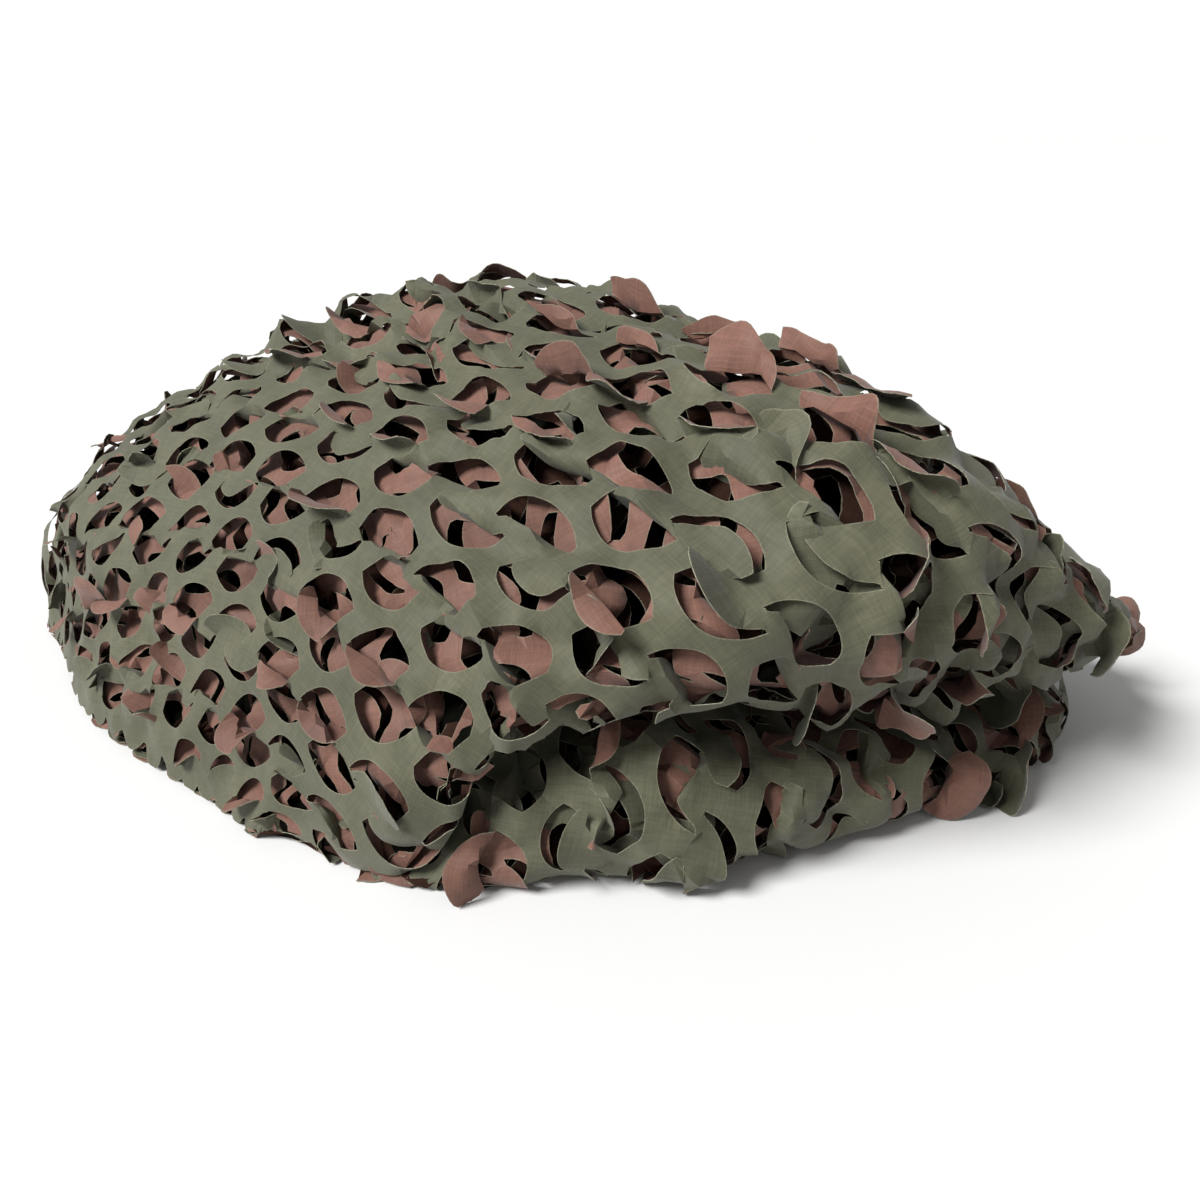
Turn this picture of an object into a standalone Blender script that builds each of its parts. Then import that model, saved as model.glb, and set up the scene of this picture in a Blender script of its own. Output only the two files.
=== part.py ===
"""Camouflage net: one die-cut cloth, folded into a loose bundle that lies on the ground.

The cloth is one strip. Its section runs back and forth in six layers, bent round a
low mouth along the front into a thin lower lobe and a high upper one. The outer
layer is cut through with staggered holes, and some keep a bent tongue on one side.
Metres, +Z up, +X along the front, +Y to the back, ground at Z = 0.
"""
from collections import namedtuple
from functools import lru_cache
import math
import random

import bmesh
import bpy
import numpy as np
from mathutils import Vector

# Cloth
SHEET_THICKNESS = 0.002
LAYERS = 6
CELL_WIDTH = 0.105          # one hole and its web, across the strip
CELL_LENGTH = 0.080         # the same, along the strip
PLAIN_ROW = 0.160           # length of a row that has no holes
WEB = 0.012                 # half the web between two holes
ZIGZAG = 0.009              # up and down of a row line, which makes the cells hexagons
CUT_WANDER = 0.005          # unevenness of a hole's corners
TONGUE_EVERY = 3            # every third hole keeps its tongue
TONGUE_LENGTH = 0.040
TONGUE_LIFT = 0.009
TONGUE_FLOOR = 0.060        # tongues stand only above this height
TONGUE_TAPER = (0.85, 0.45)  # its width at each step, in that of the step before
TONGUE_SHORTENS = 0.2       # each step is this much shorter than the one before
TONGUE_STEEPENS = 0.4       # and rises this much more
TONGUE_CURL = (0.6, 1.4)    # range of a tongue's rise
TONGUE_MARGIN = 1.2         # cells at each end of a row that keep no tongue
WHOLE_CELL = 0.9            # a narrower cell is a half one, and stays uncut
LUMP = 0.006                # unevenness of the outer layer
LUMP_SPACING = 0.27
LUMP_PHASE = 1.0
RANDOM_SEED = 7

# Bundle
SHEAR = -0.42               # lean of the sections in plan, X per metre of Y
SPINE_SHARE = 0.38          # depth of the rounded back in the whole depth
SPINE_SLENDERNESS = 1.6     # and at most this many times the height there
SPINE_POWER = 2.3           # 2 is an ellipse, more is squarer
BROW_POWER = 2.2
CHIN_POWER = 2.0
NOSE_SHARE = 0.40           # height of the upper lobe's foremost line in that lobe
CHIN_DEPTH = 0.10           # from that line back to the flat roof of the mouth
CHIN_SHARE = 0.35           # and at most this share of the upper lobe's depth
CHIN_SLENDERNESS = 0.8      # and at most this many times its height
TUCK_DEPTH = 0.025          # free edge laid into the mouth
TUCK_LIFT = 0.010           # its height above the ground
TURN_DEPTH = 0.016
TURN_SETBACK = 0.032        # how far a fold lies behind the one that wraps it
SETBACK_SHARE = 0.12        # and at most this share of the upper lobe
INNER_WIDTH_SHARE = 0.80    # the inner layers end short of the outer one
MOUTH_SPINE_ROWS = 2        # rows round the back of the layer that lines the mouth
INNER_SPINE_ROWS = 4        # the same, of the layers inside
LOWER_TURN_ROWS = 2
UPPER_TURN_ROWS = 3
REFERENCE_X = 0.10          # the section that the flat lengths are measured on
OUTLINE_POINTS = 49
SPREAD_POINTS = 200
FLAT_TOLERANCE = 0.0006     # a point lower than this lies on the ground
NORMAL_STEP = 0.012         # reach of the differences that give the outward way

NET_COLOUR = (0.105, 0.115, 0.078, 1.0)
NET_ROUGHNESS = 0.75

# Sections along the bundle: place on the front line, its front and back, the top, the
# roof and floor of the mouth, how far the upper lobe juts past the lower one, and the
# lean to the right for each metre of height.
Station = namedtuple("Station", "x front back top roof floor jut lean")
STATIONS = (
    Station(-0.252, -0.200, 0.270, 0.060, 0.034, 0.008, 0.000, 0.0),
    Station(-0.236, -0.212, 0.318, 0.104, 0.037, 0.010, 0.006, 0.0),
    Station(-0.205, -0.252, 0.334, 0.158, 0.046, 0.020, 0.014, 0.0),
    Station(-0.150, -0.296, 0.332, 0.212, 0.070, 0.044, 0.020, 0.0),
    Station(-0.060, -0.348, 0.326, 0.262, 0.125, 0.098, 0.016, 0.0),
    Station(0.040, -0.384, 0.330, 0.306, 0.143, 0.121, 0.010, 0.0),
    Station(0.150, -0.388, 0.322, 0.346, 0.119, 0.097, 0.006, 0.0),
    Station(0.245, -0.368, 0.304, 0.350, 0.092, 0.070, 0.006, 0.0),
    Station(0.330, -0.345, 0.284, 0.262, 0.076, 0.060, 0.006, 0.1),
    Station(0.395, -0.312, 0.264, 0.176, 0.074, 0.054, 0.008, 0.2),
    Station(0.432, -0.272, 0.262, 0.128, 0.078, 0.044, 0.010, 0.3),
    Station(0.454, -0.240, 0.262, 0.100, 0.078, 0.024, 0.010, 0.4),
)

# The strip is a chain of stretches. Each has its kind, its layer, the layer it leads
# to, whether it runs back from the upper lobe to the lower one, its number of rows
# (0: by length) and what is cut into it.
Stretch = namedtuple("Stretch", "kind layer next_layer backward rows cut")
OUTER_PASS = (
    Stretch("tuck", 1, 1, False, 1, "plain"),
    Stretch("lower_front", 1, 1, False, 4, "holes"),
    Stretch("lower", 1, 1, False, 0, "plain"),
    Stretch("spine", 1, 1, False, 0, "tongues"),
    Stretch("brow", 1, 1, False, 0, "tongues"),
    Stretch("chin", 1, 6, False, 2, "holes"),
)
INNER_PASSES = (6, 5, 2, 3, 4)


def clear_scene():
    for scene_object in list(bpy.data.objects):
        bpy.data.objects.remove(scene_object, do_unlink=True)


def strip_stretches():
    """The whole strip, from the free edge in the mouth to the one inside."""
    chain = list(OUTER_PASS)
    backward = True
    for layer, next_layer in zip(INNER_PASSES, INNER_PASSES[1:] + (None,)):
        spine_rows = MOUTH_SPINE_ROWS if layer == LAYERS else INNER_SPINE_ROWS
        limbs = [
            Stretch("lower", layer, layer, backward, 0, "plain"),
            Stretch("spine", layer, layer, backward, spine_rows, "plain"),
            Stretch("upper", layer, layer, backward, 0, "plain"),
        ]
        chain += limbs[::-1] if backward else limbs
        if next_layer:
            kind = "lower_turn" if backward else "upper_turn"
            turn_rows = LOWER_TURN_ROWS if backward else UPPER_TURN_ROWS
            chain.append(Stretch(kind, layer, next_layer, False, turn_rows, "plain"))
        backward = not backward
    return chain


def eased(x, column):
    """A column of the station table at x, joined by monotone cubic curves."""
    xs = [station.x for station in STATIONS]
    ys = [getattr(station, column) for station in STATIONS]
    steps = np.diff(xs)
    slopes = np.diff(ys) / steps
    tangents = [slopes[0]]
    for before, after in zip(slopes[:-1], slopes[1:]):
        tangents.append(0.0 if before * after <= 0 else 2 * before * after / (before + after))
    tangents.append(slopes[-1])
    i = int(np.clip(np.searchsorted(xs, x) - 1, 0, len(xs) - 2))
    t = float(np.clip((x - xs[i]) / steps[i], 0.0, 1.0))
    rise = t * t * (3 - 2 * t)
    lead = t * (1 - t) ** 2 * tangents[i] * steps[i]
    trail = t * t * (t - 1) * tangents[i + 1] * steps[i]
    return float(ys[i] * (1 - rise) + ys[i + 1] * rise + lead + trail)


@lru_cache(maxsize=None)
def section(x):
    """The named sizes of the section at x."""
    s = {column: eased(x, column) for column in Station._fields[1:]}
    depth = s["back"] - s["front"]
    s["spine_y"] = s["back"] - min(SPINE_SHARE * depth, SPINE_SLENDERNESS * s["top"])
    s["middle"] = (s["roof"] + s["floor"]) / 2
    s["nose"] = s["front"] - s["jut"]
    s["nose_z"] = s["roof"] + NOSE_SHARE * (s["top"] - s["roof"])
    lobe_depth = s["spine_y"] - s["nose"]
    s["chin"] = min(CHIN_DEPTH, CHIN_SHARE * lobe_depth, CHIN_SLENDERNESS * (s["top"] - s["roof"]))
    s["cap"] = (s["floor"] + TUCK_LIFT) / 2
    return s


def depth_share(layer):
    """0 for the outer layer, 1 for the one that lines the mouth."""
    return (layer - 1) / (LAYERS - 1)


def superellipse(angles, power):
    cosines = np.cos(angles)
    sines = np.sin(angles)
    across = np.sign(cosines) * np.abs(cosines) ** (2 / power)
    up = np.sign(sines) * np.abs(sines) ** (2 / power)
    return across, up


def upper_height(s, y, layer):
    """Height of a layer in the upper lobe at y, between the brow and the mouth's roof."""
    behind = np.clip((s["spine_y"] - y) / (s["spine_y"] - s["nose"]), 0.0, 1.0)
    brow = s["nose_z"] + (s["top"] - s["nose_z"]) * (1 - behind ** BROW_POWER) ** (1 / BROW_POWER)
    inside = np.clip((s["nose"] + s["chin"] - y) / s["chin"], 0.0, 1.0)
    roof = s["nose_z"] - (s["nose_z"] - s["roof"]) * (1 - inside ** CHIN_POWER) ** (1 / CHIN_POWER)
    return brow + (roof - brow) * depth_share(layer)


def upper_stop(s, layer):
    """Where a layer's fold starts at the front of the upper lobe."""
    if layer == LAYERS:
        return s["nose"] + s["chin"]
    wraps = min(layer, LAYERS + 1 - layer) - 1
    return s["nose"] + wraps * min(TURN_SETBACK, SETBACK_SHARE * (s["spine_y"] - s["nose"]))


def lower_stop(s, layer):
    """Where a layer's fold or free edge starts at the front of the lower lobe."""
    if layer == 1:
        return s["front"] + s["cap"]
    return s["front"] + s["floor"] / 2 + (TURN_DEPTH if layer == INNER_PASSES[-1] else 0.0)


def outline(stretch, s):
    """Points (y, z) of one stretch of the strip in the section s."""
    share = depth_share(stretch.layer)
    line = np.linspace(0.0, 1.0, OUTLINE_POINTS)
    quarter = line * math.pi / 2
    half = line * math.pi
    if stretch.kind == "tuck":
        y = s["front"] + s["cap"] + TUCK_DEPTH * (1 - line)
        z = np.full_like(line, 2 * s["cap"])
    elif stretch.kind == "lower_front":
        y = s["front"] + s["cap"] * (1 - np.sin(half))
        z = s["cap"] * (1 + np.cos(half))
    elif stretch.kind == "lower":
        stop = lower_stop(s, stretch.layer)
        y = stop + (s["spine_y"] - stop) * line
        z = np.full_like(line, share * s["floor"])
    elif stretch.kind == "spine":
        across, up = superellipse(half - math.pi / 2, SPINE_POWER)
        mouth = (s["roof"] - s["floor"]) / 2
        tall = np.where(up > 0, s["top"] - s["middle"], s["middle"])
        y = s["spine_y"] + across * ((s["back"] - s["spine_y"]) * (1 - share) + mouth * share)
        z = s["middle"] + up * (tall * (1 - share) + mouth * share)
    elif stretch.kind == "brow":
        across, up = superellipse(quarter, BROW_POWER)
        y = s["spine_y"] + (s["nose"] - s["spine_y"]) * up
        z = s["nose_z"] + (s["top"] - s["nose_z"]) * across
    elif stretch.kind == "chin":
        across, up = superellipse(quarter, CHIN_POWER)
        y = s["nose"] + s["chin"] * (1 - across)
        z = s["nose_z"] - (s["nose_z"] - s["roof"]) * up
    elif stretch.kind == "upper":
        y = s["spine_y"] + (upper_stop(s, stretch.layer) - s["spine_y"]) * line
        z = upper_height(s, y, stretch.layer)
    else:
        ends = (stretch.layer, stretch.next_layer)
        if stretch.kind == "lower_turn":
            stop = lower_stop(s, stretch.layer)
            start, end = (depth_share(layer) * s["floor"] for layer in ends)
        else:
            stop = upper_stop(s, stretch.layer)
            start, end = (float(upper_height(s, stop, layer)) for layer in ends)
        y = stop - min(abs(start - end) / 2, TURN_DEPTH) * np.sin(half)
        z = (start + end) / 2 + (start - end) / 2 * np.cos(half)
    points = np.stack([y, z], axis=1)
    return points[::-1] if stretch.backward else points


@lru_cache(maxsize=None)
def measured(stretch, x):
    """A stretch's points at x, with the length along them."""
    points = outline(stretch, section(x))
    steps = np.hypot(*np.diff(points, axis=0).T)
    return points, np.concatenate([[0.0], np.cumsum(steps)])


def top_profile():
    """Places x at even steps along the bundle's top, and the length of that line."""
    xs = np.linspace(STATIONS[0].x, STATIONS[-1].x, SPREAD_POINTS)
    tops = [section(float(x))["top"] for x in xs]
    across = np.diff(xs) / math.hypot(1.0, SHEAR)
    lengths = np.concatenate([[0.0], np.cumsum(np.hypot(across, np.diff(tops)))])
    return xs, lengths


class Fold:
    """Lays the flat strip (across, along, lift) into the bundle."""

    def __init__(self):
        self.chain = strip_stretches()
        self.xs, self.lengths = top_profile()
        self.width = float(self.lengths[-1])
        sizes = [measured(stretch, REFERENCE_X)[1][-1] for stretch in self.chain]
        self.starts = np.concatenate([[0.0], np.cumsum(sizes)])
        self.length = float(self.starts[-1])

    def row_lines(self):
        """Places of the row lines along the strip, and the stretch of each row."""
        lines = [0.0]
        owners = []
        for stretch, start, end in zip(self.chain, self.starts, self.starts[1:]):
            pitch = PLAIN_ROW if stretch.cut == "plain" else CELL_LENGTH
            rows = stretch.rows or max(1, round((end - start) / pitch))
            lines += [start + (end - start) * (row + 1) / rows for row in range(rows)]
            owners += [stretch] * rows
        return lines, owners

    def width_share(self, stretch, t):
        """The outer layer is the widest, and narrows on its way into the mouth."""
        if stretch.layer == 1:
            return 1.0
        if stretch.layer == LAYERS and stretch.kind == "upper":
            return 1.0 + (INNER_WIDTH_SHARE - 1.0) * t
        return INNER_WIDTH_SHARE

    def place(self, across, along):
        i = int(np.clip(np.searchsorted(self.starts, along) - 1, 0, len(self.chain) - 1))
        stretch = self.chain[i]
        t = (along - self.starts[i]) / (self.starts[i + 1] - self.starts[i])
        x = float(np.interp(across, self.lengths, self.xs))
        middle = (self.xs[0] + self.xs[-1]) / 2
        x = middle + (x - middle) * self.width_share(stretch, t)
        x = round(x, 6)
        points, lengths = measured(stretch, x)
        y, z = (float(np.interp(t * lengths[-1], lengths, points[:, axis])) for axis in (0, 1))
        s = section(x)
        return Vector((x + SHEAR * (y - s["front"]) + s["lean"] * z, y, z))

    def outward(self, across, along):
        left, right = (self.place(float(np.clip(across + step, 0, self.width)), along)
                       for step in (-NORMAL_STEP, NORMAL_STEP))
        before, after = (self.place(across, float(np.clip(along + step, 0, self.length)))
                         for step in (-NORMAL_STEP, NORMAL_STEP))
        return (after - before).cross(right - left).normalized()

    def lump(self, across, along):
        """Unevenness of the outer layer, none at its ends and where it lies flat."""
        kinds = [stretch.kind for stretch in OUTER_PASS]
        first, last = (self.starts[kinds.index(kind)] for kind in ("spine", "chin"))
        if not first < along < last:
            return 0.0
        run = (along - first) / (last - first)
        fade = math.sin(math.pi * across / self.width) * math.sin(math.pi * run)
        turns = 2 * math.pi / LUMP_SPACING
        return LUMP * fade * math.sin(turns * across + LUMP_PHASE) * math.cos(turns * along)

    def lay(self, flat):
        point = self.place(flat.x, flat.y)
        lift = flat.z + self.lump(flat.x, flat.y)
        if abs(lift) > 0.0:
            point += lift * self.outward(flat.x, flat.y)
        return point + Vector((0.0, 0.0, SHEET_THICKNESS / 2))


def flat_grid(fold, lines, columns):
    """The strip laid flat: a grid with two half cells to each column."""
    rows = len(lines) - 1
    bpy.ops.mesh.primitive_grid_add(x_subdivisions=2 * columns, y_subdivisions=rows, size=1.0)
    net = bpy.context.object
    net.name = "net"
    mesh = bmesh.new()
    mesh.from_mesh(net.data)
    for vert in mesh.verts:
        column = round((vert.co.x + 0.5) * 2 * columns)
        line = round((vert.co.y + 0.5) * rows)
        vert.co = Vector((fold.width * column / (2 * columns), lines[line], 0.0))
    return net, mesh


def stagger_cells(mesh, fold, lines, owners, columns):
    """Joins the half cells in pairs, each cut row half a cell off the one before."""
    half_width = fold.width / (2 * columns)
    drop = []
    for edge in mesh.edges:
        start, end = (vert.co for vert in edge.verts)
        column = round(start.x / half_width)
        if abs(start.x - end.x) > half_width / 2 or column in (0, 2 * columns):
            continue
        row = int(np.searchsorted(lines, (start.y + end.y) / 2)) - 1
        offset = row if owners[row].cut != "plain" else 0
        if (column + offset) % 2:
            drop.append(edge)
    bmesh.ops.dissolve_edges(mesh, edges=drop)
    cut = [False] + [owner.cut != "plain" for owner in owners] + [False]
    loose = []
    for vert in mesh.verts:
        column = round(vert.co.x / half_width)
        line = int(np.argmin(np.abs(np.array(lines) - vert.co.y)))
        if cut[line] and cut[line + 1]:
            vert.co.y += ZIGZAG if (column + line) % 2 == 0 else -ZIGZAG
        elif not (cut[line] or cut[line + 1]) and column % 2:
            loose.append(vert)
    bmesh.ops.dissolve_verts(mesh, verts=loose)


def cut_holes(mesh, fold, lines, owners, columns):
    """Insets each whole cell of a cut row and opens it. Some keep a bent tongue."""
    wander = random.Random(RANDOM_SEED)
    cell_width = fold.width / columns
    cells = []
    for face in mesh.faces:
        centre = face.calc_center_median()
        width = max(v.co.x for v in face.verts) - min(v.co.x for v in face.verts)
        row = int(np.searchsorted(lines, centre.y)) - 1
        if owners[row].cut != "plain" and width > WHOLE_CELL * cell_width:
            cells.append((round(centre.y, 4), round(centre.x, 4), row, face))
    cells.sort(key=lambda cell: cell[:2])
    whole = [cell[3] for cell in cells]
    bmesh.ops.inset_individual(mesh, faces=whole, thickness=WEB, use_even_offset=True)
    margin = TONGUE_MARGIN * cell_width
    for count, (_, x, row, face) in enumerate(cells):
        rim = list(face.edges)
        for vert in face.verts:
            vert.co.x += wander.uniform(-CUT_WANDER, CUT_WANDER)
            vert.co.y += wander.uniform(-CUT_WANDER, CUT_WANDER)
        centre = face.calc_center_median()
        bmesh.ops.delete(mesh, geom=[face], context="FACES_ONLY")
        inside = margin < x < fold.width - margin
        high = fold.place(centre.x, centre.y).z > TONGUE_FLOOR
        if owners[row].cut == "tongues" and count % TONGUE_EVERY == 0 and inside and high:
            side = 1 if count % 2 else -1
            root = [edge for edge in rim if hinge_side(edge, centre, side)]
            bend_tongue(mesh, root, centre, side, wander.uniform(*TONGUE_CURL))
    return len(cells)


def hinge_side(edge, centre, side):
    """Whether an edge of a hole is one of the two that a tongue hangs from."""
    start, end = (vert.co for vert in edge.verts)
    return abs(start.x - end.x) > abs(start.y - end.y) and side * ((start.y + end.y) / 2 - centre.y) > 0


def bend_tongue(mesh, root, centre, side, curl):
    """A tapered tongue of two stretches that rises from the root edges."""
    edges = root
    for step, taper in enumerate(TONGUE_TAPER):
        grown = bmesh.ops.extrude_edge_only(mesh, edges=edges)["geom"]
        edges = [item for item in grown if isinstance(item, bmesh.types.BMEdge)]
        for vert in {vert for edge in edges for vert in edge.verts}:
            vert.co.x = centre.x + (vert.co.x - centre.x) * taper
            vert.co.y -= side * TONGUE_LENGTH / 2 * (1 - TONGUE_SHORTENS * step)
            vert.co.z += TONGUE_LIFT * curl * (1 + TONGUE_STEEPENS * step)


def finish_solid(net, mesh):
    """Gives the folded surface its thickness, sets it flat on the ground and centres it."""
    bmesh.ops.triangulate(mesh, faces=mesh.faces)
    mesh.to_mesh(net.data)
    mesh.free()
    thick = net.modifiers.new("thickness", "SOLIDIFY")
    thick.thickness = SHEET_THICKNESS
    thick.offset = 0.0
    bpy.ops.object.modifier_apply(modifier=thick.name)
    solid = bmesh.new()
    solid.from_mesh(net.data)
    for vert in solid.verts:
        if vert.co.z < FLAT_TOLERANCE:
            vert.co.z = 0.0
    middles = []
    for axis in (0, 1):
        places = [vert.co[axis] for vert in solid.verts]
        middles.append((min(places) + max(places)) / 2)
    bmesh.ops.translate(solid, verts=solid.verts, vec=(-middles[0], -middles[1], 0.0))
    bmesh.ops.triangulate(solid, faces=solid.faces)
    bmesh.ops.recalc_face_normals(solid, faces=solid.faces)
    solid.to_mesh(net.data)
    solid.free()
    print("net: strip middle moved by", [round(-value, 4) for value in middles])


def coated_cloth():
    material = bpy.data.materials.new("coated_cloth")
    material.use_nodes = True
    shader = material.node_tree.nodes["Principled BSDF"]
    shader.inputs["Base Color"].default_value = NET_COLOUR
    shader.inputs["Roughness"].default_value = NET_ROUGHNESS
    shader.inputs["Metallic"].default_value = 0.0
    return material


def build_net():
    fold = Fold()
    lines, owners = fold.row_lines()
    columns = round(fold.width / CELL_WIDTH)
    net, mesh = flat_grid(fold, lines, columns)
    stagger_cells(mesh, fold, lines, owners, columns)
    holes = cut_holes(mesh, fold, lines, owners, columns)
    for vert in mesh.verts:
        vert.co = fold.lay(vert.co.copy())
    finish_solid(net, mesh)
    net.data.materials.append(coated_cloth())
    print("net: flat strip", round(fold.width, 3), "x", round(fold.length, 3), "m")
    print("net:", holes, "holes,", len(net.data.polygons), "triangles")
    return net


def main():
    clear_scene()
    bundle = bpy.data.collections.new("camouflage_net")
    bpy.context.scene.collection.children.link(bundle)
    net = build_net()
    for collection in list(net.users_collection):
        collection.objects.unlink(net)
    bundle.objects.link(net)


main()
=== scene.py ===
import math
import time

import bpy
import numpy as np
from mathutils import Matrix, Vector, geometry
from mathutils.bvhtree import BVHTree


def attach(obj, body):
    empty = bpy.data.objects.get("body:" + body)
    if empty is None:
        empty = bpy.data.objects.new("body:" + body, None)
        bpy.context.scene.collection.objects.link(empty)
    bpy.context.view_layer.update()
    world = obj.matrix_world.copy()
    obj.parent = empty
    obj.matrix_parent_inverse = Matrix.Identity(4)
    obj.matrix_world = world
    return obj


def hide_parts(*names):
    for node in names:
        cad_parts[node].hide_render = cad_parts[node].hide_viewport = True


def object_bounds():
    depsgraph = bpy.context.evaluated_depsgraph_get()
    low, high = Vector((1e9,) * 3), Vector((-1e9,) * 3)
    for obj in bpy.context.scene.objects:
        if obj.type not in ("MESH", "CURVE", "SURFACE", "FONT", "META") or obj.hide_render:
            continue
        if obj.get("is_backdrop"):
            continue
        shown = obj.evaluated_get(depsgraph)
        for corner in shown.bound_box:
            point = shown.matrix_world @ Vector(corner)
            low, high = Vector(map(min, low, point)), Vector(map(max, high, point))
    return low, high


startTime = time.time()
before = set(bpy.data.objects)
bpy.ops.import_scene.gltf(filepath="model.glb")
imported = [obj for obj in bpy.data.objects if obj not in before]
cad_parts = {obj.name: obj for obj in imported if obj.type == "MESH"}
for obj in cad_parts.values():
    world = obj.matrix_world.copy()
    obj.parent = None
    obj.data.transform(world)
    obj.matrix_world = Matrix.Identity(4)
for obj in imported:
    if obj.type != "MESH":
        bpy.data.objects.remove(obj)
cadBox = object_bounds()
bpy.ops.object.select_all(action="DESELECT")

cameraSettings = {
    "place": (-0.2573, -0.8623, 0.500),
    "heading": -20.0,       # degrees to the right of straight ahead
    "pitch": 25.0,          # degrees down
    "lens": 31.17,          # mm on a 36 mm sensor
}
lightSettings = {
    "ambient": 0.40,
    "backdrop": 1.1,        # the white that the camera sees behind the floor
    "keyStrength": 5.8,
    "keySoftness": 24.0,    # degrees across, as a large softbox
    "keyFrom": (-0.85, -0.20, 0.89),
}
floorSettings = {"size": 60.0, "height": -0.0005, "colour": "#CFCFCE", "roughness": 0.7}


def linearColour(code):
    parts = [int(code[i:i + 2], 16) / 255 for i in (1, 3, 5)]
    return [p / 12.92 if p <= 0.04045 else ((p + 0.055) / 1.055) ** 2.4 for p in parts] + [1.0]


def setInputs(tree, node, inputs):
    # each input takes a value, an output of another node, or that node for its first output
    for name, value in inputs.items():
        if isinstance(value, bpy.types.Node):
            value = value.outputs[0]
        if isinstance(value, bpy.types.NodeSocket):
            tree.links.new(value, node.inputs[name])
        else:
            node.inputs[name].default_value = value


def addNode(tree, kind, inputs, **settings):
    node = tree.nodes.new("ShaderNode" + kind)
    for name, value in settings.items():
        setattr(node, name, value)
    setInputs(tree, node, inputs)
    return node


def newMaterial(name):
    material = bpy.data.materials.new(name)
    material.use_nodes = True
    tree = material.node_tree
    return material, tree, tree.nodes["Principled BSDF"]


def addCamera():
    s = cameraSettings
    turn = (math.radians(90 - s["pitch"]), 0.0, math.radians(s["heading"]))
    bpy.ops.object.camera_add(location=s["place"], rotation=turn)
    camera = bpy.context.object
    camera.data.lens = s["lens"]
    bpy.context.scene.camera = camera


def addStudio():
    s = lightSettings
    white = (1.0, 1.0, 1.0, 1.0)
    world = bpy.data.worlds.new("studioLight")
    bpy.context.scene.world = world
    world.use_nodes = True
    tree = world.node_tree
    ambient = tree.nodes["Background"]
    setInputs(tree, ambient, {"Color": white, "Strength": s["ambient"]})
    backdrop = addNode(tree, "Background", {"Color": white, "Strength": s["backdrop"]})
    rays = addNode(tree, "LightPath", {})            # its first output tells the camera's own rays
    mixed = addNode(tree, "MixShader", {0: rays, 1: ambient, 2: backdrop})
    setInputs(tree, tree.nodes["World Output"], {"Surface": mixed})
    bpy.context.scene.view_settings.view_transform = "Standard"
    aim = Vector(s["keyFrom"]).to_track_quat("Z", "Y").to_euler()
    bpy.ops.object.light_add(type="SUN", location=s["keyFrom"], rotation=aim)
    key = bpy.context.object
    key.name = "softbox"
    key.data.energy = s["keyStrength"]
    key.data.angle = math.radians(s["keySoftness"])
    s = floorSettings
    bpy.ops.mesh.primitive_plane_add(size=s["size"], location=(0, 0, s["height"]))
    floor = bpy.context.object
    floor.name = "floor"
    # background paper: even and without a shine
    paper, tree, surface = newMaterial("mattPaper")
    setInputs(tree, surface, {"Base Color": linearColour(s["colour"]), "Roughness": s["roughness"]})
    floor.data.materials.append(paper)
    floor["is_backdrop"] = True


def eased(t):
    # 0 to 1 with soft ends
    return t * t * (3 - 2 * t)


def crossed(a, b):
    # signed area between two flat directions
    return a[..., 0] * b[..., 1] - a[..., 1] * b[..., 0]


def lengthsAlong(line):
    return np.concatenate([[0.0], np.cumsum(np.linalg.norm(np.diff(line, axis=0), axis=1))])


def evenPlaces(line, lengths, at):
    return np.stack([np.interp(at, lengths, line[:, 0]), np.interp(at, lengths, line[:, 1])], axis=1)


def newPiece(name, points, faces):
    # a mesh object at the origin, selected and active
    mesh = bpy.data.meshes.new(name)
    mesh.from_pydata(points.tolist(), [], faces.tolist())
    piece = bpy.data.objects.new(name, mesh)
    bpy.context.scene.collection.objects.link(piece)
    bpy.ops.object.select_all(action="DESELECT")
    piece.select_set(True)
    bpy.context.view_layer.objects.active = piece
    return piece


def cornersOf(mesh):
    # the point at each corner of each face
    corners = np.zeros(len(mesh.loops), int)
    mesh.loops.foreach_get("vertex_index", corners)
    return corners


# the bundle: an upper and a lower lobe, folded round the spine at the back, as sections across it
bundle = {
    "shift": (-0.0173, 0.0177),
    "shear": -0.42,          # the sections lean to the left at the back
    "spineShare": 0.38,      # reach of the round back, against the depth of the bundle
    "spineSlenderness": 1.6,
    "spinePower": 2.3,       # 2 is a round curve, more is squarer
    "browPower": 2.2,
    "noseShare": 0.45,       # height of the upper lobe's foremost line
    "chinDepth": 0.08,
    "chinShare": 0.35,
    "chinSlenderness": 0.8,
    "chinMerged": 0.6,       # how much of the chin goes where the lobes run together
    "bellyShare": 0.42,      # height of the lower lobe's foremost line
    "lipDrop": 0.13,         # how much lower the lower lobe is in front than where the two lobes touch
    "notch": 0.05,           # depth of the dark notch between the lobes
    "slope": 0.52,           # how far the lower lobe's top slopes back, against its height
    "bulge": 0.034,          # roundness of the left end in plan
    "bulgeReach": 0.13,
    "mergeFrom": -0.095,     # the two lobes run together towards the left end
    "mergeTo": -0.185,
    "mergedFloor": 0.004,
    "mergedNose": 0.45,
    "roomStart": 0.002,      # the thickness is looked for from just under the skin
    "roomMost": 0.2,         # to this far through the bundle
    "roomRounds": 6,         # of evening out
    "sectionPoints": 60,
    "sections": 301,
    "nodesAlong": 130,
    "nodesRound": 150,
}
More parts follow.
